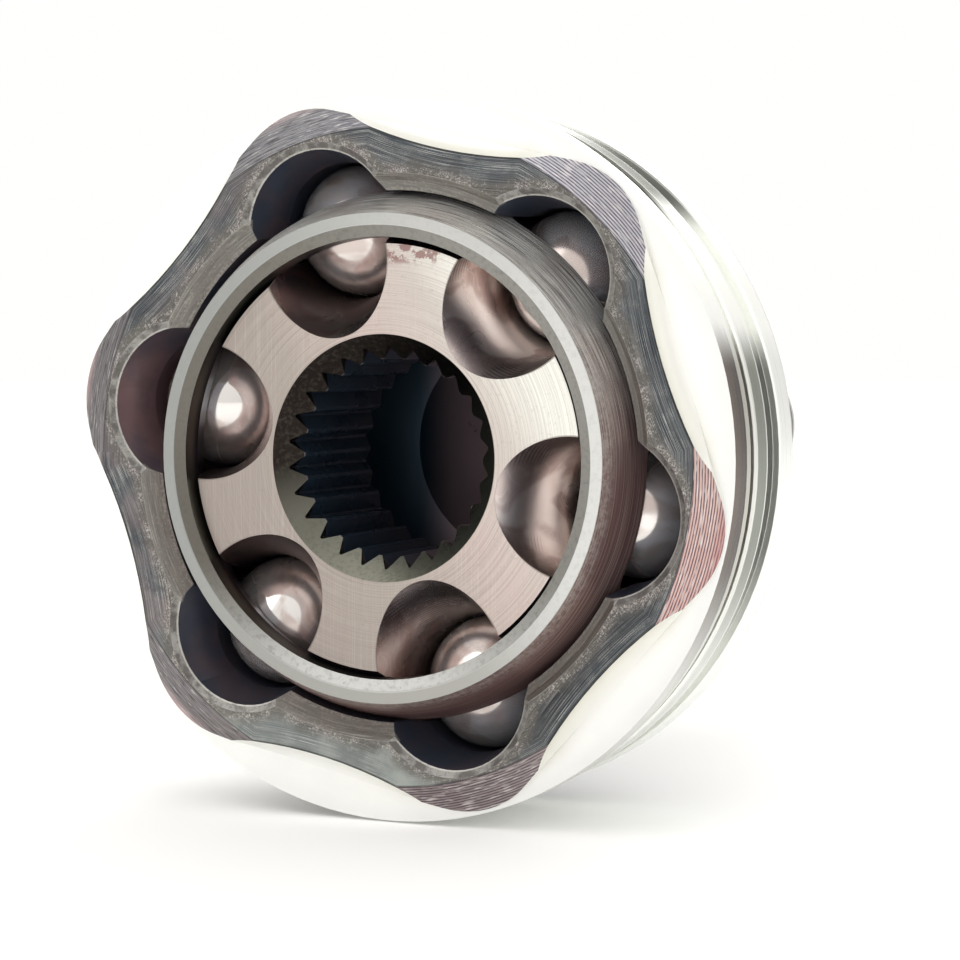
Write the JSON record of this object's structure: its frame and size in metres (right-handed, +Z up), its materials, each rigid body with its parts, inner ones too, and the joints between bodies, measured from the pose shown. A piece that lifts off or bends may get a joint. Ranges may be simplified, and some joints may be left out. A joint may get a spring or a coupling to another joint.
{
  "type": "constant velocity joint",
  "caption": "Fixed ball-type constant velocity joint: lobed outer race with a splined stub shaft, ball cage, splined inner race and steel balls in curved tracks.",
  "frame": {"origin": "joint centre, where the axes of the drive shaft and the stub shaft meet", "axes": "+Y along the stub shaft away from the mouth, +Z up, X across; the mouth faces -Y"},
  "size_m": [0.0894, 0.1277, 0.0894],
  "materials": {
    "outer_race": "forged and turned steel, light oil",
    "ball_cage": "hardened and ground steel",
    "inner_race": "hardened steel with ground faces",
    "ball": "polished bearing steel"
  },
  "bodies": {
    "outer": {"outer_race": "outer_race"},
    "inner": {"inner_race": "inner_race"},
    "cage": {"ball_cage": "ball_cage"},
    "ball_1": {"ball_1": "ball"},
    "ball_2": {"ball_2": "ball"},
    "ball_3": {"ball_3": "ball"},
    "ball_4": {"ball_4": "ball"},
    "ball_5": {"ball_5": "ball"},
    "ball_6": {"ball_6": "ball"}
  },
  "joints": [
    {"name": "articulation", "type": "hinge", "parent": "outer", "child": "inner", "pos_m": [0, 0, 0], "axis": [0, 0, 1], "range_deg": [-45, 45]},
    {"name": "cage_half_angle", "type": "hinge", "parent": "outer", "child": "cage", "pos_m": [0, 0, 0], "axis": [0, 0, 1], "range_deg": [-22.6, 22.6]},
    {"name": "ball_1_travel", "type": "hinge", "parent": "outer", "child": "ball_1", "pos_m": [0, -0.0006, 0], "axis": [-0.7396, 0, 0.673], "range_deg": [-15.9, 15.9]},
    {"name": "ball_2_travel", "type": "hinge", "parent": "outer", "child": "ball_2", "pos_m": [0, -0.0006, 0], "axis": [-0.9527, 0, -0.304], "range_deg": [-7.5, 7.5]},
    {"name": "ball_3_travel", "type": "hinge", "parent": "outer", "child": "ball_3", "pos_m": [0, -0.0006, 0], "axis": [-0.213, 0, -0.977], "range_deg": [-22.4, 22.4]},
    {"name": "ball_4_travel", "type": "hinge", "parent": "outer", "child": "ball_4", "pos_m": [0, -0.0006, 0], "axis": [0.7396, 0, -0.673], "range_deg": [-15.9, 15.9]},
    {"name": "ball_5_travel", "type": "hinge", "parent": "outer", "child": "ball_5", "pos_m": [0, -0.0006, 0], "axis": [0.9527, 0, 0.304], "range_deg": [-7.5, 7.5]},
    {"name": "ball_6_travel", "type": "hinge", "parent": "outer", "child": "ball_6", "pos_m": [0, -0.0006, 0], "axis": [0.213, 0, 0.977], "range_deg": [-22.4, 22.4]}
  ],
  "couplings": [
    {"joint": "cage_half_angle", "follows": "articulation", "ratio": 0.5},
    {"joint": "ball_1_travel", "follows": "articulation", "ratio": 0.3442},
    {"joint": "ball_2_travel", "follows": "articulation", "ratio": -0.1577},
    {"joint": "ball_3_travel", "follows": "articulation", "ratio": -0.4896},
    {"joint": "ball_4_travel", "follows": "articulation", "ratio": -0.3442},
    {"joint": "ball_5_travel", "follows": "articulation", "ratio": 0.1577},
    {"joint": "ball_6_travel", "follows": "articulation", "ratio": 0.4896}
  ]
}
